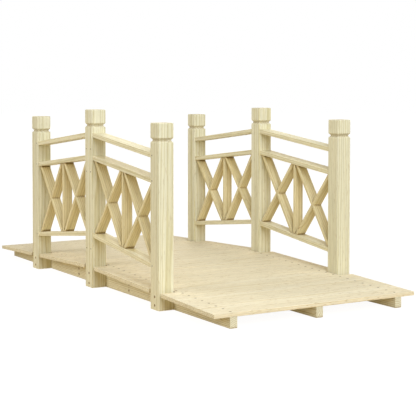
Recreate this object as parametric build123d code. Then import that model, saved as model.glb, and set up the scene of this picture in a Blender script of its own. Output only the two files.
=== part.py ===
from build123d import *
import os
from math import asin, atan, atan2, ceil, cos, sin

# Timber garden footbridge. Three bearers, flat below and cut to a low gable above, carry a
# deck of narrow boards. Six posts stand outside the bearers and hold two railings, each of
# three sloping rails with crossed laths between the lower two.
#
# Millimetres. +X runs along the bridge to its front end, +Y across it and +Z up. The origin
# is on the ground below the middle of the bridge. Left is the -Y side. The rear half mirrors
# the front half, and the right side mirrors the left.

# Overall
bridge_length = 1500.0
deck_width = 670.0  # also the width over the outer faces of the posts

# Bearers
bearer_thickness = 22.0
bearer_end_height = 30.0
bearer_ridge_height = 58.0

# Cross rails, which tie the bearers together below the deck
cross_rail_position = 179.0  # from the middle of the bridge
cross_rail_thickness = 22.0
cross_rail_ground_gap = 4.0
cross_rail_deck_gap = 3.0

# Posts
post_side = 48.0
post_spacing = 430.0  # centre to centre along the bridge
end_post_height = 525.0
middle_post_extra = 30.0  # the middle posts are this much taller

# Post heads: a V groove runs round each post below a plain block
head_height = 41.5
groove_height = 14.0
groove_floor = 2.0
groove_depth = 5.0
head_arris = 2.0

# Rails
rail_setback = 3.0  # from each side face of a post to the rail's edge
rail_thickness = 14.0
rail_rise = 43.0  # from an end post's face up to the middle post's face
top_rail_drop = 85.0  # from the top of an end post down to the top rail's upper face
middle_rail_drop = 71.0  # from the top rail down to the middle rail
lower_rail_lift = 61.0  # from the deck up to the lower rail, at an end post

# Laths: an upright slat in the middle of each bay, and a cross on each side of it
lath_setback = 5.5  # from each edge of a rail to the lath's edge
lath_thickness = 10.5
lap_clearance = 0.2  # each side of a half-lap notch

# Deck boards
board_width = 35.0
board_thickness = 11.0
board_gap = 0.5  # the least gap between two boards
least_post_gap = 5.0  # between a post and the boards beside it
short_board_gap = 1.0  # between a post and the end of a short board

# Eased long edges of every planed piece
arris = 0.8

# Places that follow from the sizes above
half_length = bridge_length / 2
post_inner_face = deck_width / 2 - post_side
rail_width = post_side - 2 * rail_setback
lath_width = rail_width - 2 * lath_setback
railing_middle = deck_width / 2 - post_side / 2
middle_post_face = post_side / 2
end_post_face = post_spacing - post_side / 2

deck_slope = (bearer_ridge_height - bearer_end_height) / half_length
deck_angle = atan(deck_slope)
rail_slope = rail_rise / (end_post_face - middle_post_face)
rail_depth = rail_thickness / cos(atan(rail_slope))


def bearer_top(x):
    """Height of the front half's gable at x, which is also the underside of the deck."""
    return bearer_ridge_height - deck_slope * x


def deck_surface(x):
    return bearer_top(x) + board_thickness / cos(deck_angle)


def sloping_line(height_at_end_post):
    """A line parallel to the rails, as (height at x = 0, slope)."""
    return height_at_end_post + rail_slope * end_post_face, -rail_slope


def height_on(line, x):
    height_at_zero, slope = line
    return height_at_zero + slope * x


top_rail_underside = sloping_line(end_post_height - top_rail_drop - rail_depth)
middle_rail_underside = sloping_line(height_on(top_rail_underside, end_post_face) - middle_rail_drop)
lower_rail_underside = sloping_line(deck_surface(end_post_face) + lower_rail_lift)
lower_rail_upside = sloping_line(height_on(lower_rail_underside, end_post_face) + rail_depth)


def slab(outline, width, middle):
    """Solid with an outline in the XZ plane and its width along Y, centred on y = middle."""
    face = Plane.XZ * Polygon(*outline, align=None)
    return Pos(0, middle, 0) * extrude(face, width / 2, both=True)


def ease(timber, direction):
    """Takes the arris off the edges that run along the timber."""
    edges = timber.edges().filter_by(Axis((0, 0, 0), direction))
    return chamfer(edges, arris)


def to_rear(piece):
    return mirror(piece, about=Plane.YZ)


def to_right(piece):
    return mirror(piece, about=Plane.XZ)


def bearer(middle):
    gable = [
        (-half_length, 0),
        (half_length, 0),
        (half_length, bearer_end_height),
        (0, bearer_ridge_height),
        (-half_length, bearer_end_height),
    ]
    return slab(gable, bearer_thickness, middle)


def cross_rail():
    """The two lengths of one cross rail, one each side of the middle bearer."""
    inner_end = bearer_thickness / 2
    outer_end = post_inner_face - bearer_thickness
    top = bearer_top(cross_rail_position + cross_rail_thickness / 2) - cross_rail_deck_gap
    height = top - cross_rail_ground_gap
    left = Pos(cross_rail_position, -(inner_end + outer_end) / 2, cross_rail_ground_gap + height / 2) * Box(
        cross_rail_thickness, outer_end - inner_end, height
    )
    return [left, to_right(left)]


def post(x, height):
    """Left post: a square timber with eased edges and a V groove round its head."""
    timber = Pos(0, 0, height / 2) * Box(post_side, post_side, height)
    timber = chamfer(timber.faces().sort_by(Axis.Z)[-1].edges(), head_arris)
    timber = ease(timber, (0, 0, 1))

    face = post_side / 2
    groove_middle = height - head_height - groove_height / 2
    wedge = slab(
        [
            (face - groove_depth, groove_middle + groove_floor / 2),
            (face - groove_depth, groove_middle - groove_floor / 2),
            (face, groove_middle - groove_height / 2),
            (face + groove_depth, groove_middle - groove_height / 2),
            (face + groove_depth, groove_middle + groove_height / 2),
            (face, groove_middle + groove_height / 2),
        ],
        2 * post_side,
        0,
    )
    for quarter_turn in range(4):
        timber -= Rot(0, 0, 90 * quarter_turn) * wedge
    return Pos(x, -railing_middle, 0) * timber


def rail(underside):
    """Rail of the left railing's front bay, let in between the middle and the end post."""
    outline = [
        (middle_post_face, height_on(underside, middle_post_face)),
        (end_post_face, height_on(underside, end_post_face)),
        (end_post_face, height_on(underside, end_post_face) + rail_depth),
        (middle_post_face, height_on(underside, middle_post_face) + rail_depth),
    ]
    return ease(slab(outline, rail_width, -railing_middle), (1, 0, -rail_slope))


def slat():
    """Upright slat in the middle of the bay, cut to the slope of the rails at both ends."""
    middle = (middle_post_face + end_post_face) / 2
    near_side = middle - lath_thickness / 2
    far_side = middle + lath_thickness / 2
    outline = [
        (near_side, height_on(lower_rail_upside, near_side)),
        (far_side, height_on(lower_rail_upside, far_side)),
        (far_side, height_on(middle_rail_underside, far_side)),
        (near_side, height_on(middle_rail_underside, near_side)),
    ]
    return ease(slab(outline, lath_width, -railing_middle), (0, 0, 1))


def reach(start, direction, line):
    """Distance from start along direction to a sloping line."""
    slope = line[1]
    return (height_on(line, start[0]) - start[1]) / (direction[1] - slope * direction[0])


def moved(start, direction, distance):
    return start[0] + distance * direction[0], start[1] + distance * direction[1]


class Brace:
    """Lath that fills one diagonal of the opening between two uprights and two rails.

    Its edges pass through opposite corners of the opening, so each end stands in its
    corner and bears flat on the rail there.
    """

    def __init__(self, start_x, end_x, start_line, end_line):
        start = (start_x, height_on(start_line, start_x))
        end = (end_x, height_on(end_line, end_x))
        across, up = end[0] - start[0], end[1] - start[1]
        diagonal = (across**2 + up**2) ** 0.5
        turn = asin(lath_thickness / diagonal)
        angle = atan2(up, across) + (turn if up > 0 else -turn)
        self.direction = (cos(angle), sin(angle))
        start_cut = reach(end, self.direction, start_line)
        end_cut = reach(start, self.direction, end_line)
        self.outline = [
            start,
            moved(end, self.direction, start_cut),
            end,
            moved(start, self.direction, end_cut),
        ]
        self.middle = ((start[0] + end[0]) / 2, (start[1] + end[1]) / 2)

    def timber(self):
        direction = (self.direction[0], 0, self.direction[1])
        return ease(slab(self.outline, lath_width, -railing_middle), direction)

    def notch_for(self, other, outer_half):
        """The stretch of this lath that the other passes through, over half the width."""
        this_way, other_way = self.direction, other.direction
        gap = (other.middle[0] - self.middle[0], other.middle[1] - self.middle[1])
        turn = this_way[0] * other_way[1] - this_way[1] * other_way[0]
        distance = (gap[0] * other_way[1] - gap[1] * other_way[0]) / turn
        crossing = moved(self.middle, this_way, distance)
        square = (-other_way[1], other_way[0])
        half_notch = lath_thickness / 2 + lap_clearance
        outline = []
        for along, side in ((-1, -1), (1, -1), (1, 1), (-1, 1)):
            corner = moved(crossing, other_way, 2 * lath_thickness * along)
            outline.append(moved(corner, square, half_notch * side))
        half = lath_width / 2
        middle = -railing_middle + (-half if outer_half else half) / 2
        cutter = slab(outline, half, middle)
        clear = slab(outline, half, middle + (-half if outer_half else half) / 2)
        return cutter + clear


def crossed_laths(start_x, end_x):
    """One half-lapped cross: the rising lath is whole on the outer side, the falling inside."""
    rising = Brace(start_x, end_x, lower_rail_upside, middle_rail_underside)
    falling = Brace(start_x, end_x, middle_rail_underside, lower_rail_upside)
    return (
        rising.timber() - rising.notch_for(falling, outer_half=False),
        falling.timber() - falling.notch_for(rising, outer_half=True),
    )


def deck_boards(start, end, length):
    """Boards side by side on the front slope, from start to end along it."""
    count = int((end - start + board_gap) // (board_width + board_gap))
    step = (end - start - board_width) / (count - 1) if count > 1 else 0
    slope = Plane(
        origin=(0, 0, bearer_ridge_height),
        x_dir=(cos(deck_angle), 0, -sin(deck_angle)),
        z_dir=(sin(deck_angle), 0, cos(deck_angle)),
    )
    board = ease(Box(board_width, length, board_thickness), (0, 1, 0))
    first = start + board_width / 2
    return [slope * Pos(first + step * place, 0, board_thickness / 2) * board for place in range(count)]


pieces = {}

side_bearer_middle = post_inner_face - bearer_thickness / 2
pieces["bearer_left"] = [bearer(-side_bearer_middle)]
pieces["bearer_middle"] = [bearer(0)]
pieces["bearer_right"] = [bearer(side_bearer_middle)]

front_cross_rail = cross_rail()
pieces["cross_rail_front"] = front_cross_rail
pieces["cross_rail_rear"] = [to_rear(length) for length in front_cross_rail]


def place_four(name, solids):
    """Adds a piece of the left railing's front bay and its three mirror images."""
    pieces[f"{name}_left_front"] = solids
    pieces[f"{name}_left_rear"] = [to_rear(solid) for solid in solids]
    pieces[f"{name}_right_front"] = [to_right(solid) for solid in solids]
    pieces[f"{name}_right_rear"] = [to_right(to_rear(solid)) for solid in solids]


middle_post = post(0, end_post_height + middle_post_extra)
pieces["post_left_middle"] = [middle_post]
pieces["post_right_middle"] = [to_right(middle_post)]
place_four("post", [post(post_spacing, end_post_height)])

place_four("top_rail", [rail(top_rail_underside)])
place_four("middle_rail", [rail(middle_rail_underside)])
place_four("lower_rail", [rail(lower_rail_underside)])
place_four("slat", [slat()])

bay_middle = (middle_post_face + end_post_face) / 2
inner_rising, inner_falling = crossed_laths(middle_post_face, bay_middle - lath_thickness / 2)
outer_rising, outer_falling = crossed_laths(bay_middle + lath_thickness / 2, end_post_face)
place_four("rising_laths", [inner_rising, outer_rising])
place_four("falling_laths", [inner_falling, outer_falling])

# The deck is laid in runs. At each pair of posts the boards are short and end between the
# posts, so the full boards beside them leave a slot round each post.
short_boards_each_side = ceil((post_side / 2 + least_post_gap) / (board_width + board_gap))
slot_half = short_boards_each_side * (board_width + board_gap) + board_gap / 2
short_length = 2 * (post_inner_face - short_board_gap)
post_on_slope = post_spacing / cos(deck_angle)
deck_end = (half_length - board_thickness * sin(deck_angle)) / cos(deck_angle)

front_bay = deck_boards(slot_half, post_on_slope - slot_half, deck_width)
front_posts = deck_boards(post_on_slope - slot_half + board_gap, post_on_slope + slot_half - board_gap, short_length)
front_end = deck_boards(post_on_slope + slot_half, deck_end, deck_width)
ridge = deck_boards(board_gap / 2, slot_half - board_gap, short_length)

pieces["deck_front_end"] = front_end
pieces["deck_front_posts"] = front_posts
pieces["deck_front_bay"] = front_bay
pieces["deck_ridge"] = ridge + [to_rear(board) for board in ridge]
pieces["deck_rear_bay"] = [to_rear(board) for board in front_bay]
pieces["deck_rear_posts"] = [to_rear(board) for board in front_posts]
pieces["deck_rear_end"] = [to_rear(board) for board in front_end]

os.makedirs("parts", exist_ok=True)
for name, solids in pieces.items():
    export_step(Compound(solids) if len(solids) > 1 else solids[0], f"parts/{name}.step")
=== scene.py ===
from math import pi, radians, tau
from random import Random

import bmesh
import bpy
from mathutils import Matrix, Vector


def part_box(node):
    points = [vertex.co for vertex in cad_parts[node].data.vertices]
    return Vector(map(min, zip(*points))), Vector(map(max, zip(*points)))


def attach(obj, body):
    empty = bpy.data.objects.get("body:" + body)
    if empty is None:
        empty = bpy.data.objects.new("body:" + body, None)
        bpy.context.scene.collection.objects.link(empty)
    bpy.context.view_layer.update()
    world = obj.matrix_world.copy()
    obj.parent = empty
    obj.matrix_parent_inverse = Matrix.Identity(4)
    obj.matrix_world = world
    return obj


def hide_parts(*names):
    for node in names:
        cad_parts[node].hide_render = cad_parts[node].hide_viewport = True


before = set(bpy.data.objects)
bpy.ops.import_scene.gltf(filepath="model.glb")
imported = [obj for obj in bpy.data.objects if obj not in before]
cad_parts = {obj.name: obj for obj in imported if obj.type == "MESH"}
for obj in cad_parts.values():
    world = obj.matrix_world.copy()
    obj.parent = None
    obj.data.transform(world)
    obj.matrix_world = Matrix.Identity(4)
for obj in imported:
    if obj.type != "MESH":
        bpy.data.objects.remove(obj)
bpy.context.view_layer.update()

mm = 0.001

# Bearers. Three fir boards on edge, sawn flat below and to a low gable above, which lie on the
# ground and carry all the rest. Sawn rather than planed, so they are duller than the posts. Two
# countersunk screws through each side bearer hold the end of each cross rail.


def linear(hex_colour):
    """An sRGB hex colour as the linear RGBA that a shader takes."""
    values = [int(hex_colour[place : place + 2], 16) / 255 for place in (0, 2, 4)]
    return [v / 12.92 if v <= 0.04045 else ((v + 0.055) / 1.055) ** 2.4 for v in values] + [1]


def add_node(tree, kind, sockets=None, **settings):
    """Adds a node with its settings. A socket is set to its value or linked to another socket."""
    node = tree.nodes.new(kind)
    for setting, value in settings.items():
        setattr(node, setting, value)
    for socket, value in (sockets or {}).items():
        if isinstance(value, bpy.types.NodeSocket):
            tree.links.new(value, node.inputs[socket])
        else:
            node.inputs[socket].default_value = value
    return node


def empty_material(name):
    """A new material with nothing in its node tree yet."""
    material = bpy.data.materials.new(name)
    material.use_nodes = True
    material.node_tree.nodes.clear()
    return material


def fir(
    name,
    spring_wood,
    summer_wood,
    ring,
    roughness,
    shine=0.12,
    fibre=50 * mm,
    streaks=0.35,
    flecks=0.35,
    knot_share=0.18,
    corner_shade=0.75,
    corner_reach=8 * mm,
    own_corners_only=False,
):
    """Fir, cut from a log whose growth rings are about the given width apart.

    The grain is solid: it reads each timber's own place in its log from the "timber" attribute,
    X along the grain and metres from the pith across it, so sides and ends belong together.

    shine is the specular level, and fibre the length of a streak. streaks, flecks and corner_shade say
    how strongly the fibres, the resin and the painted shade in the corners show. knot_share is the
    share of the possible knots that are there, and corner_reach how far out of a corner the painted
    shade spreads. With own_corners_only, corners between one piece and another get no painted shade.
    """
    material = empty_material(name)
    tree = material.node_tree
    timber = add_node(tree, "ShaderNodeAttribute", attribute_name="timber").outputs["Vector"]
    tone = add_node(tree, "ShaderNodeAttribute", attribute_name="tone").outputs["Fac"]

    # Knots: the hearts of side branches, about 8 mm across and longer along the grain, which
    # bends round them. At most one stands in each cell of a loose random lattice.
    knot_spacing = 55 * mm
    knot_heart_radius = 4 * mm
    knot_swirl_radius = 15 * mm
    squeezed_along = 0.45
    knot_place = add_node(
        tree, "ShaderNodeMapping", {"Vector": timber, "Scale": (squeezed_along, 1, 1)}
    )
    knots = add_node(
        tree,
        "ShaderNodeTexVoronoi",
        {"Vector": knot_place.outputs[0], "Scale": 1 / knot_spacing},
    )
    chance = add_node(tree, "ShaderNodeSeparateColor", {"Color": knots.outputs["Color"]})
    chosen = add_node(
        tree, "ShaderNodeMath", {0: chance.outputs["Red"], 1: knot_share}, operation="LESS_THAN"
    )

    def knot_mask(radius, softness):
        """1 in the middle of each chosen knot, falling to 0 at the radius."""
        edge = radius / knot_spacing
        near = add_node(
            tree,
            "ShaderNodeMapRange",
            {"Value": knots.outputs["Distance"], "From Min": edge * (1 - softness),
             "From Max": edge, "To Min": 1, "To Max": 0},
            interpolation_type="SMOOTHSTEP",
        )
        return add_node(
            tree, "ShaderNodeMath", {0: near.outputs[0], 1: chosen.outputs[0]}, operation="MULTIPLY"
        ).outputs[0]

    knot_swirl = knot_mask(knot_swirl_radius, softness=1)
    knot_heart = knot_mask(knot_heart_radius, softness=0.6)

    # Growth rings: pale spring wood that darkens to summer wood and then soon turns pale again.
    # They wander by a few millimetres over the length and bend round the knots.
    wave_texture_factor = 20
    ring_scale = tau / (wave_texture_factor * ring)
    wander_distance = 20 * mm
    wander_detail = 0.6 / (ring_scale * wander_distance)
    slower_along = 0.05
    swirl_turns = 1.5
    swirl_phase = add_node(
        tree, "ShaderNodeMath", {0: knot_swirl, 1: swirl_turns * tau}, operation="MULTIPLY"
    )
    log = add_node(tree, "ShaderNodeMapping", {"Vector": timber, "Scale": (slower_along, 1, 1)})
    rings = add_node(
        tree,
        "ShaderNodeTexWave",
        {"Vector": log.outputs[0], "Scale": ring_scale, "Distortion": 9, "Detail": 2,
         "Detail Scale": wander_detail, "Phase Offset": swirl_phase.outputs[0]},
        wave_type="RINGS",
        rings_direction="X",
        wave_profile="SAW",
    )
    spring_until, summer_at = 0.5, 0.88
    ring_colours = add_node(tree, "ShaderNodeValToRGB", {"Fac": rings.outputs["Fac"]})
    ramp = ring_colours.color_ramp
    ramp.elements[0].color = linear(spring_wood)
    ramp.elements[1].position = summer_at
    ramp.elements[1].color = linear(summer_wood)
    for place in (spring_until, 1.0):
        ramp.elements.new(place).color = linear(spring_wood)

    # Fibres: streaks 3 mm wide. Real ones are ten times finer, and are drawn this coarse so that
    # they show from a few metres away. Bands of them, 10 mm wide, are a little darker or lighter,
    # and so is each timber as a whole.
    fibres_per_metre = 330
    bands_per_metre = 100
    bands_longer_than_fibres = 0.15
    band_strength = 0.2
    tone_strength = 0.05
    fibre_place = add_node(
        tree,
        "ShaderNodeMapping",
        {"Vector": timber, "Scale": (1 / fibre, fibres_per_metre, fibres_per_metre)},
    )
    fibres = add_node(
        tree,
        "ShaderNodeTexNoise",
        {"Vector": fibre_place.outputs[0], "Scale": 1, "Detail": 3, "Roughness": 0.6},
    )
    band_place = add_node(
        tree,
        "ShaderNodeMapping",
        {"Vector": timber,
         "Scale": (bands_longer_than_fibres / fibre, bands_per_metre, bands_per_metre)},
    )
    bands = add_node(
        tree, "ShaderNodeTexNoise", {"Vector": band_place.outputs[0], "Scale": 1, "Detail": 2}
    )
    brightness = 1 - (streaks + band_strength + tone_strength) / 2
    for pattern, strength in (
        (fibres.outputs["Fac"], streaks),
        (bands.outputs["Fac"], band_strength),
        (tone, tone_strength),
    ):
        brightness = add_node(
            tree,
            "ShaderNodeMath",
            {0: pattern, 1: strength, 2: brightness},
            operation="MULTIPLY_ADD",
        ).outputs[0]
    wood = add_node(
        tree, "ShaderNodeHueSaturation", {"Color": ring_colours.outputs[0], "Value": brightness}
    ).outputs[0]

    # Resin flecks: short brown dashes along the grain, 3 mm wide and about 20 mm long.
    flecks_per_metre = (45, 340, 340)
    fleck_starts, fleck_full = 0.62, 0.74
    dash_place = add_node(
        tree, "ShaderNodeMapping", {"Vector": timber, "Scale": flecks_per_metre}
    )
    dashes = add_node(
        tree, "ShaderNodeTexNoise", {"Vector": dash_place.outputs[0], "Scale": 1, "Detail": 1}
    )
    resin = add_node(
        tree,
        "ShaderNodeMapRange",
        {"Value": dashes.outputs["Fac"], "From Min": fleck_starts, "From Max": fleck_full,
         "To Max": flecks},
    )

    # Corners: painted shade darkens the wood for a few millimetres out of each inner corner.
    deep_in_corner, out_of_corner = 0.45, 0.95
    openness = add_node(
        tree,
        "ShaderNodeAmbientOcclusion",
        {"Distance": corner_reach},
        samples=8,
        only_local=own_corners_only,
    )
    painted_shade = add_node(
        tree,
        "ShaderNodeMapRange",
        {"Value": openness.outputs["AO"], "From Min": deep_in_corner,
         "From Max": out_of_corner, "To Min": corner_shade, "To Max": 0},
    )
    # The resin and knot colours are the wood's own; the last colour is the painted corner shade.
    for mask, colour in (
        (resin.outputs[0], "b99c66"),
        (knot_heart, "b08f5c"),
        (painted_shade.outputs[0], "8c6c34"),
    ):
        wood = add_node(
            tree, "ShaderNodeMix", {0: mask, 6: wood, 7: linear(colour)}, data_type="RGBA"
        ).outputs[2]

    # Summer wood stands a few hundredths of a millimetre proud, and is a little shinier.
    ring_height = 0.6
    relief_depth = 0.1 * mm
    spring_duller, summer_shinier = 0.06, 0.08
    height = add_node(
        tree,
        "ShaderNodeMath",
        {0: rings.outputs["Fac"], 1: ring_height, 2: fibres.outputs["Fac"]},
        operation="MULTIPLY_ADD",
    )
    relief = add_node(
        tree,
        "ShaderNodeBump",
        {"Height": height.outputs[0], "Strength": 0.35, "Distance": relief_depth},
    )
    dullness = add_node(
        tree,
        "ShaderNodeMapRange",
        {"Value": rings.outputs["Fac"], "To Min": roughness + spring_duller,
         "To Max": roughness - summer_shinier},
    )
    surface = add_node(
        tree,
        "ShaderNodeBsdfPrincipled",
        {"Base Color": wood, "Roughness": dullness.outputs[0], "Specular IOR Level": shine,
         "Normal": relief.outputs[0]},
    )
    add_node(tree, "ShaderNodeOutputMaterial", {"Surface": surface.outputs[0]})
    return material


touching = 0.01 * mm


def merged_copy(node):
    """The timbers of a CAD node as a bmesh, with its loose triangles merged into whole faces."""
    shape = bmesh.new()
    shape.from_mesh(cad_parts[node].data)
    bmesh.ops.remove_doubles(shape, verts=shape.verts, dist=touching)
    bmesh.ops.dissolve_limit(shape, angle_limit=radians(1), verts=shape.verts, edges=shape.edges)
    return shape


def single_timbers(shape):
    """The separate timbers in a bmesh, each as (vertices, direction of the grain, centre).

    Nothing is gone through in a set's order, which changes with each run, so that every run cuts
    the same timbers from the same wood.
    """
    waiting, timbers = set(shape.verts), []
    for start in shape.verts:
        if start not in waiting:
            continue
        waiting.discard(start)
        found = [start]
        for vert in found:
            for edge in vert.link_edges:
                other = edge.other_vert(vert)
                if other in waiting:
                    waiting.discard(other)
                    found.append(other)
        edges = (edge for vert in found for edge in vert.link_edges)
        longest = max(edges, key=lambda edge: edge.calc_length())
        grain = (longest.verts[1].co - longest.verts[0].co).normalized()
        middle = [
            (min(v.co[axis] for v in found) + max(v.co[axis] for v in found)) / 2
            for axis in range(3)
        ]
        timbers.append((found, grain, Vector(middle)))
    return timbers


def add_object(name, shape):
    """Makes a bmesh an object in the scene."""
    mesh = bpy.data.meshes.new(name)
    shape.to_mesh(mesh)
    shape.free()
    made = bpy.data.objects.new(name, mesh)
    bpy.context.scene.collection.objects.link(made)
    return made


def pointing(way_out):
    """The turn that takes +Z to the way out of a face."""
    return way_out.to_track_quat("Z", "Y").to_matrix().to_4x4()


screw_head_radius = 3.5 * mm
screw_head_sink = 0.4 * mm
countersink_margin = 0.7 * mm
countersink_depth = 4 * mm
borer_proud = 0.1 * mm


def countersinks(seats):
    """The holes for the screws at these seats. A seat is (place on the face, way out)."""
    mouth = screw_head_radius + countersink_margin
    bottom = 0.4 * screw_head_radius
    return [(place, way_out, mouth, bottom, countersink_depth) for place, way_out in seats]


def bore(piece, holes):
    """Bores holes, each (place on the face, way out, radius at the mouth and floor, depth).

    The borer starts a little proud of the face, so each hole ends that much short of its depth.
    """
    borer_shape = bmesh.new()
    for place, way_out, mouth, bottom, depth in holes:
        centre = Matrix.Translation(place - way_out * (depth / 2 - borer_proud))
        bmesh.ops.create_cone(
            borer_shape,
            cap_ends=True,
            segments=20,
            radius1=bottom,
            radius2=mouth,
            depth=depth,
            matrix=centre @ pointing(way_out),
        )
    borer = add_object("borer", borer_shape)
    cut = piece.modifiers.new("holes", "BOOLEAN")
    cut.object = borer
    cut.operation = "DIFFERENCE"
    cut.solver = "EXACT"
    bored = bpy.data.meshes.new_from_object(
        piece.evaluated_get(bpy.context.evaluated_depsgraph_get())
    )
    piece.modifiers.clear()
    piece.data = bored
    bpy.data.objects.remove(borer)


# The planer's arrises are taken off by 0.3 mm. A face counts as end grain when it looks nearly
# along the grain, and a timber may come from anywhere in 20 m of log either way.
arris = 0.3 * mm
sharp_corner = radians(20)
shading_break = radians(35)
nearly_along = 0.8
log_reach = 20


def dress(node, side_wood, end_wood, pith=(20 * mm, 70 * mm), holes=()):
    """Makes the finished timbers of a CAD node: arrises rounded, holes bored, grain laid.

    Each timber is cut from a place of its own in its log, which lies between the two pith
    distances from the timber's centre.
    """
    shape = merged_copy(node)
    corners = [edge for edge in shape.edges if edge.calc_face_angle_signed(0) > sharp_corner]
    bmesh.ops.bevel(
        shape,
        geom=corners,
        offset=arris,
        offset_type="OFFSET",
        segments=2,
        profile=0.5,
        affect="EDGES",
        material=-1,
        clamp_overlap=True,
    )
    piece = add_object(f"{node}_timber", shape)
    if holes:
        bore(piece, holes)

    chance = Random(node)
    shape = bmesh.new()
    shape.from_mesh(piece.data)
    shape.normal_update()
    place_layer = shape.verts.layers.float_vector.new("timber")
    tone_layer = shape.verts.layers.float.new("tone")
    for verts, grain, middle in single_timbers(shape):
        around = Matrix.Rotation(chance.uniform(0, tau), 3, grain)
        from_pith = around @ grain.orthogonal().normalized()
        along_ring = grain.cross(from_pith)
        pith_distance = chance.uniform(*pith)
        along = chance.uniform(-log_reach, log_reach)
        tone = chance.random()
        for vert in verts:
            offset = vert.co - middle
            vert[place_layer] = (
                offset.dot(grain) + along,
                offset.dot(from_pith) + pith_distance,
                offset.dot(along_ring),
            )
            vert[tone_layer] = tone
            for face in vert.link_faces:
                face.material_index = int(abs(face.normal.dot(grain)) > nearly_along)
                face.smooth = True
    piece.data.materials.append(side_wood)
    piece.data.materials.append(end_wood)
    shape.to_mesh(piece.data)
    shape.free()
    piece.data.set_sharp_from_angle(angle=shading_break)
    even = piece.modifiers.new("even_shading", "WEIGHTED_NORMAL")
    even.mode = "FACE_AREA"
    even.keep_sharp = True
    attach(piece, "root")
    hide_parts(node)


# Steel screws under a brown coating against rust: dull, and a little uneven in colour.
screw_coating = empty_material("brown coated steel screw")
coating_grain = add_node(
    screw_coating.node_tree,
    "ShaderNodeTexNoise",
    {"Vector": add_node(screw_coating.node_tree, "ShaderNodeTexCoord").outputs["Object"],
     "Scale": 1 / (0.8 * mm), "Detail": 2},
)
coating_colour = add_node(
    screw_coating.node_tree,
    "ShaderNodeMix",
    {0: coating_grain.outputs["Fac"], 6: linear("7c6238"), 7: linear("987c4c")},
    data_type="RGBA",
)
coating_dullness = add_node(
    screw_coating.node_tree,
    "ShaderNodeMapRange",
    {"Value": coating_grain.outputs["Fac"], "To Min": 0.45, "To Max": 0.65},
)
coating_surface = add_node(
    screw_coating.node_tree,
    "ShaderNodeBsdfPrincipled",
    {"Base Color": coating_colour.outputs[2], "Roughness": coating_dullness.outputs[0],
     "Specular IOR Level": 0.15},
)
add_node(
    screw_coating.node_tree, "ShaderNodeOutputMaterial", {"Surface": coating_surface.outputs[0]}
)


def drawn_down(made, shrink, depth):
    """Takes the new vertices in towards the screw's axis and down to a depth."""
    verts = [item for item in made if isinstance(item, bmesh.types.BMVert)]
    for vert in verts:
        vert.co = Vector((vert.co.x * shrink, vert.co.y * shrink, -depth))
    return verts


def drive_screws(name, seats):
    """Countersunk cross-recess screw heads, sunk just below the wood at each seat.

    A head starts as a grid whose lines, in head radii, mark out the cross and its arms. The
    grid's edge is then drawn out to a circle, the cross sunk, and the cone added below.
    """
    arm_half_width, arm_length = 0.16, 0.55
    lines = [-1, -arm_length, -arm_half_width, arm_half_width, arm_length, 1]
    cells = len(lines) - 1
    heads = bmesh.new()
    for number, (place, way_out) in enumerate(seats):
        grid = bmesh.ops.create_grid(heads, x_segments=cells, y_segments=cells, size=1)["verts"]
        for vert in grid:
            x, y = (lines[round((value + 1) * cells / 2)] for value in vert.co[:2])
            if max(abs(x), abs(y)) == 1:
                x, y = Vector((x, y)).normalized()
            vert.co = Vector((x, y, 0)) * screw_head_radius
        faces = dict.fromkeys(face for vert in grid for face in vert.link_faces)
        rim = list(dict.fromkeys(e for f in faces for e in f.edges if e.is_boundary))
        cross = []
        for face in faces:
            x, y = (abs(value) / screw_head_radius for value in face.calc_center_median()[:2])
            if min(x, y) < arm_half_width and max(x, y) < arm_length:
                cross.append(face)
        sunk = bmesh.ops.extrude_face_region(heads, geom=cross)["geom"]
        bmesh.ops.delete(heads, geom=cross, context="FACES_ONLY")
        recess = drawn_down(sunk, shrink=0.75, depth=1.2 * mm)
        cone = bmesh.ops.extrude_edge_only(heads, edges=rim)["geom"]
        below = drawn_down(cone, shrink=0.45, depth=1.9 * mm)
        open_edges = [e for e in cone if isinstance(e, bmesh.types.BMEdge) and e.is_boundary]
        bmesh.ops.contextual_create(heads, geom=open_edges)
        turn = Matrix.Rotation(Random(f"{name} {number}").uniform(0, pi / 2), 4, "Z")
        move = Matrix.Translation(place - way_out * screw_head_sink)
        bmesh.ops.transform(
            heads, matrix=move @ pointing(way_out) @ turn, verts=grid + recess + below
        )
    bmesh.ops.recalc_face_normals(heads, faces=heads.faces)
    piece = add_object(name, heads)
    piece.data.materials.append(screw_coating)
    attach(piece, "root")


# Sawn fir: the saw leaves it rough and pale, with hardly any gloss, and only faint painted shade in
# its corners.
sawn_fir = fir("sawn fir bearer", "f3eed3", "d0c59a", ring=5 * mm, roughness=0.72, corner_shade=0.25)
sawn_fir_end = fir("sawn fir bearer end grain", "e8e4cc", "c8ba92", ring=5 * mm, roughness=0.8)
cross_rail_screw_heights = (12 * mm, 31 * mm)
cross_rail_places = [
    (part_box(node)[0].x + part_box(node)[1].x) / 2 for node in ("cross_rail_front", "cross_rail_rear")
]
outer_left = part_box("bearer_left")[0].y
outer_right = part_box("bearer_right")[1].y
bearer_seats = {"bearer_left": [], "bearer_middle": [], "bearer_right": []}
for x in cross_rail_places:
    for z in cross_rail_screw_heights:
        bearer_seats["bearer_left"].append((Vector((x, outer_left, z)), Vector((0, -1, 0))))
        bearer_seats["bearer_right"].append((Vector((x, outer_right, z)), Vector((0, 1, 0))))
for node, seats in bearer_seats.items():
    dress(node, sawn_fir, sawn_fir_end, holes=countersinks(seats))
drive_screws("bearer_screws", bearer_seats["bearer_left"] + bearer_seats["bearer_right"])

# Cross rails. Short lengths of the same sawn fir between the bearers, which keep them upright and
# apart. They stop just short of the ground and of the deck.

for node in ("cross_rail_front", "cross_rail_rear"):
    dress(node, sawn_fir, sawn_fir_end)
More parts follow.
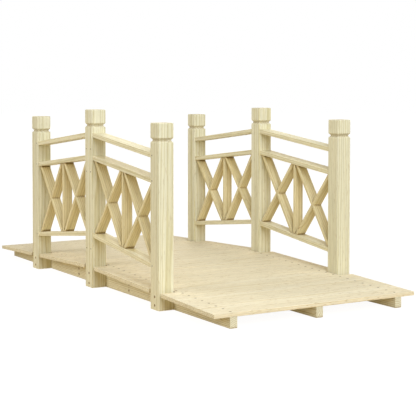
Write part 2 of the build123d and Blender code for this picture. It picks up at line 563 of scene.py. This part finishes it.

# Posts. Square planed fir, 48 mm a side, with a V groove run round the head by a moulder. Each
# stands on the ground against a side bearer, held by two long screws through its outer face. Up
# that face stand steel pins at three heights: one column on an end post, two on a middle post.

# Planed fir: smooth and close-grained, with a faint sheen, painted shade in the groove and none where
# other pieces meet it.
post_fir = fir("planed fir post", "ede8cd", "d8cfa4", ring=7 * mm, roughness=0.55,
               knot_share=0, corner_shade=1, corner_reach=14 * mm, own_corners_only=True)
post_fir_end = fir("planed fir post end grain", "e8dcba", "cfbd92", ring=8 * mm, roughness=0.7)
low_screw_height = 13 * mm
highest_screw_height = 44 * mm
below_bearer_top = 5 * mm
pin_radius = 2 * mm
pin_depth = 1.2 * mm
pin_sink = 0.2 * mm
pin_rounding = 0.3 * mm
pin_offset = 15 * mm
half_rail = 7 * mm
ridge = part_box("bearer_left")[1].z
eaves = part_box("deck_front_end")[0].z
bridge_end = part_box("bearer_left")[1].x
pin_heights = [
    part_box(f"{row}_rail_left_front")[0].z + half_rail for row in ("top", "middle", "lower")
]
post_screws, pins = [], []
for side, outward in (("left", Vector((0, -1, 0))), ("right", Vector((0, 1, 0)))):
    for place, rail_sides in (("front", (-1,)), ("middle", (-1, 1)), ("rear", (1,))):
        node = f"post_{side}_{place}"
        low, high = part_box(node)
        x = (low.x + high.x) / 2
        y = low.y if side == "left" else high.y
        bearer_top = ridge + (eaves - ridge) * abs(x) / bridge_end
        high_screw_height = min(bearer_top - below_bearer_top, highest_screw_height)
        seats = [(Vector((x, y, z)), outward) for z in (low_screw_height, high_screw_height)]
        post_screws += seats
        columns = [
            (Vector((x + rail_side * pin_offset, y, z)), outward)
            for rail_side in rail_sides
            for z in pin_heights
        ]
        pins += columns
        pin_holes = [
            (spot, way_out, pin_radius, pin_radius, pin_depth) for spot, way_out in columns
        ]
        dress(node, post_fir, post_fir_end, pith=(10 * mm, 50 * mm),
              holes=countersinks(seats) + pin_holes)
drive_screws("post_screws", post_screws)

# Browned steel wire: dark brown, with a soft shine on the cut end.
pin_steel = empty_material("browned steel pin")
pin_grain = add_node(
    pin_steel.node_tree,
    "ShaderNodeTexNoise",
    {"Vector": add_node(pin_steel.node_tree, "ShaderNodeTexCoord").outputs["Object"],
     "Scale": 1 / (0.6 * mm), "Detail": 2},
)
pin_dullness = add_node(
    pin_steel.node_tree,
    "ShaderNodeMapRange",
    {"Value": pin_grain.outputs["Fac"], "To Min": 0.4, "To Max": 0.6},
)
pin_surface = add_node(
    pin_steel.node_tree,
    "ShaderNodeBsdfPrincipled",
    {"Base Color": linear("6b5c40"), "Metallic": 0.8, "Roughness": pin_dullness.outputs[0]},
)
add_node(pin_steel.node_tree, "ShaderNodeOutputMaterial", {"Surface": pin_surface.outputs[0]})
pin_length = pin_depth - pin_sink - borer_proud
pin_shape = bmesh.new()
for spot, way_out in pins:
    middle = Matrix.Translation(spot - way_out * (pin_sink + pin_length / 2))
    made = bmesh.ops.create_cone(
        pin_shape,
        cap_ends=True,
        segments=16,
        radius1=pin_radius,
        radius2=pin_radius,
        depth=pin_length,
        matrix=middle @ pointing(way_out),
    )["verts"]
    rim = [
        edge
        for edge in dict.fromkeys(e for vert in made for e in vert.link_edges)
        if all((vert.co - spot).dot(way_out) > -pin_sink - touching for vert in edge.verts)
    ]
    bmesh.ops.bevel(
        pin_shape,
        geom=rim,
        offset=pin_rounding,
        offset_type="OFFSET",
        segments=2,
        profile=0.5,
        affect="EDGES",
        material=-1,
    )
bmesh.ops.recalc_face_normals(pin_shape, faces=pin_shape.faces)
post_pins = add_object("post_pins", pin_shape)
post_pins.data.materials.append(pin_steel)
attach(post_pins, "root")

# Deck. Narrow planed fir boards laid across the bearers with hardly a gap, 42 in all, and
# shorter beside the posts. One countersunk screw holds each board down on each side bearer.

# Planed fir again, paler and with hardly any sheen. Its grain crosses the bridge in short
# streaks, with more flecks of resin, and painted shade reaches 15 mm out of its corners.
deck_fir = fir("planed fir deck board", "f4e9cd", "e8d8b1", ring=6 * mm, roughness=0.6,
               shine=0.03, fibre=25 * mm, flecks=0.75, corner_shade=0.4, corner_reach=15 * mm)
deck_fir_end = fir("planed fir deck board end grain", "efe6ca", "d9c9a0", ring=6 * mm,
                   roughness=0.75)
bearer_lines = [
    (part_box(node)[0].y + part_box(node)[1].y) / 2 for node in ("bearer_left", "bearer_right")
]
facing_up = 0.5
deck_screws = []
for run in ("front_end", "front_posts", "front_bay", "ridge", "rear_bay", "rear_posts", "rear_end"):
    seats = []
    boards = merged_copy(f"deck_{run}")
    for verts, grain, middle in single_timbers(boards):
        top = max((face for vert in verts for face in vert.link_faces),
                  key=lambda face: face.calc_area() * (face.normal.z > facing_up))
        for y in bearer_lines:
            on_top = Vector((middle.x, y, middle.z))
            on_top += top.normal * top.normal.dot(top.verts[0].co - on_top)
            seats.append((on_top, top.normal.copy()))
    boards.free()
    deck_screws += seats
    dress(f"deck_{run}", deck_fir, deck_fir_end, holes=countersinks(seats))
drive_screws("deck_screws", deck_screws)

# Rails. Planed fir strips laid flat between the posts, parallel to each other, in three rows.
# Their ends are cut to the slope and butt the posts.

# The same smooth fir as the posts, with the fibres a little clearer and faint painted shade at its
# ends and where the laths meet it.
rail_fir = fir("planed fir rail", "f0e8c8", "dbcfa2", ring=6 * mm, roughness=0.55, streaks=0.4,
               corner_shade=0.35)
rail_fir_end = fir("planed fir rail end grain", "e2d5b0", "c6b384", ring=6 * mm, roughness=0.7)
corners_of_bridge = [f"{side}_{end}" for side in ("left", "right") for end in ("front", "rear")]
for row in ("top", "middle", "lower"):
    for corner in corners_of_bridge:
        dress(f"{row}_rail_{corner}", rail_fir, rail_fir_end)

# Slats and crossed laths. Thin planed fir on edge between the lower and the middle rail: an
# upright slat in the middle of each bay, and each side of it two laths half-lapped into a cross.

# Planed fir from darker stock, with painted shade where the laths meet the rails and each other.
lath_fir = fir("planed fir lath", "ecdfb6", "d8c794", ring=6 * mm, roughness=0.58, streaks=0.4)
lath_fir_end = fir("planed fir lath end grain", "e0d3ad", "c2af80", ring=6 * mm, roughness=0.7)
for corner in corners_of_bridge:
    for kind in ("slat", "rising_laths", "falling_laths"):
        dress(f"{kind}_{corner}", lath_fir, lath_fir_end)

# Studio. A white floor that keeps the bridge's soft shadow, in front of a white background. Five
# soft lamps, the two strongest in front and above, weak warm light from all round, and warm light
# thrown back up by the floor close to the bridge.

scene = bpy.context.scene
scene.view_settings.view_transform = "Standard"


def seen_directly(tree):
    """1 for what the camera sees itself, in a mirror or through glass, and 0 for soft light."""
    path = add_node(tree, "ShaderNodeLightPath")
    direct = path.outputs["Is Camera Ray"]
    for ray in ("Is Glossy Ray", "Is Transmission Ray"):
        direct = add_node(
            tree, "ShaderNodeMath", {0: direct, 1: path.outputs[ray]}, operation="MAXIMUM"
        ).outputs[0]
    return direct


studio = bpy.data.worlds.new("studio")
scene.world = studio
studio.use_nodes = True
studio.node_tree.nodes.clear()
all_round = add_node(
    studio.node_tree, "ShaderNodeBackground", {"Color": linear("ffeeca"), "Strength": 0.16}
)
backdrop = add_node(
    studio.node_tree, "ShaderNodeBackground", {"Color": linear("ffffff"), "Strength": 1}
)
sky = add_node(
    studio.node_tree,
    "ShaderNodeMixShader",
    {0: seen_directly(studio.node_tree), 1: all_round.outputs[0], 2: backdrop.outputs[0]},
)
add_node(studio.node_tree, "ShaderNodeOutputWorld", {"Surface": sky.outputs[0]})

# Matt floor paint. Seen directly it is white, a shade under at the bridge so that the shadow
# shows. For soft light it is warm and pale close to the bridge and dark further off, and it
# glows faintly, which lights the undersides.
floor_paint = empty_material("white studio floor")
paint_tree = floor_paint.node_tree
floor_place = add_node(paint_tree, "ShaderNodeTexCoord").outputs["Object"]
distance = add_node(
    paint_tree, "ShaderNodeVectorMath", {0: floor_place}, operation="LENGTH"
).outputs["Value"]
further_off = add_node(
    paint_tree, "ShaderNodeMapRange", {"Value": distance, "From Min": 0.6, "From Max": 1.5}
)
bounce_colour = add_node(
    paint_tree,
    "ShaderNodeMix",
    {0: further_off.outputs[0], 6: linear("c0aa80"), 7: linear("5c5444")},
    data_type="RGBA",
)
bounce = add_node(paint_tree, "ShaderNodeBsdfDiffuse", {"Color": bounce_colour.outputs[2]})
underlight = add_node(
    paint_tree, "ShaderNodeEmission", {"Color": linear("fff0c8"), "Strength": 0.16}
)
soft_side = add_node(
    paint_tree, "ShaderNodeAddShader", {0: bounce.outputs[0], 1: underlight.outputs[0]}
)
shadow_catcher = add_node(paint_tree, "ShaderNodeBsdfDiffuse", {"Color": linear("6a6865")})
whiteness = add_node(
    paint_tree,
    "ShaderNodeMapRange",
    {"Value": distance, "From Min": 0.8, "From Max": 4, "To Min": 0.94, "To Max": 1},
)
white_glow = add_node(paint_tree, "ShaderNodeEmission", {"Strength": whiteness.outputs[0]})
seen_side = add_node(
    paint_tree, "ShaderNodeAddShader", {0: shadow_catcher.outputs[0], 1: white_glow.outputs[0]}
)
floor_look = add_node(
    paint_tree,
    "ShaderNodeMixShader",
    {0: seen_directly(paint_tree), 1: soft_side.outputs[0], 2: seen_side.outputs[0]},
)
add_node(paint_tree, "ShaderNodeOutputMaterial", {"Surface": floor_look.outputs[0]})
floor_radius = 25
floor_drop = 0.2 * mm
floor_shape = bmesh.new()
bmesh.ops.create_circle(
    floor_shape,
    cap_ends=True,
    segments=64,
    radius=floor_radius,
    matrix=Matrix.Translation((0, 0, -floor_drop)),
)
floor = add_object("floor", floor_shape)
floor.data.materials.append(floor_paint)

# The lamps: round soft boxes, all aimed at the deck's middle. Place, width, watts and colour.
lamp_aim = Vector((0, 0, 0.2))
for lamp_name, lamp_place, width, power, colour in (
    ("high_lamp", (1.8, -0.3, 3.8), 3.5, 71, "f0f7ff"),
    ("front_lamp", (3.9, -0.8, 1.9), 2.6, 90, "f1f8ff"),
    ("left_lamp", (-0.4, -2.7, 1.4), 1.6, 34, "fffdf7"),
    ("right_lamp", (3.2, 2.2, 1.5), 2, 22, "fff3da"),
    ("back_lamp", (-3.6, 2.0, 1.7), 2, 36, "fff3da"),
):
    lamp_data = bpy.data.lights.new(lamp_name, "AREA")
    lamp_data.shape = "DISK"
    lamp_data.size = width
    lamp_data.energy = power
    lamp_data.color = linear(colour)[:3]
    lamp = bpy.data.objects.new(lamp_name, lamp_data)
    lamp.location = lamp_place
    lamp.rotation_euler = (lamp_aim - Vector(lamp_place)).to_track_quat("-Z", "Y").to_euler()
    scene.collection.objects.link(lamp)

# Camera: a long lens a little above the handrails, shifted so that the posts stay upright.
camera_data = bpy.data.cameras.new("camera")
camera_data.lens = 98.6
camera_data.shift_x = 0.038
camera_data.shift_y = -0.160
camera = bpy.data.objects.new("camera", camera_data)
camera.location = (3.2164, -1.8484, 0.6211)
camera.rotation_euler = (radians(90 - 2.672), 0, radians(59.589))
scene.collection.objects.link(camera)
scene.camera = camera
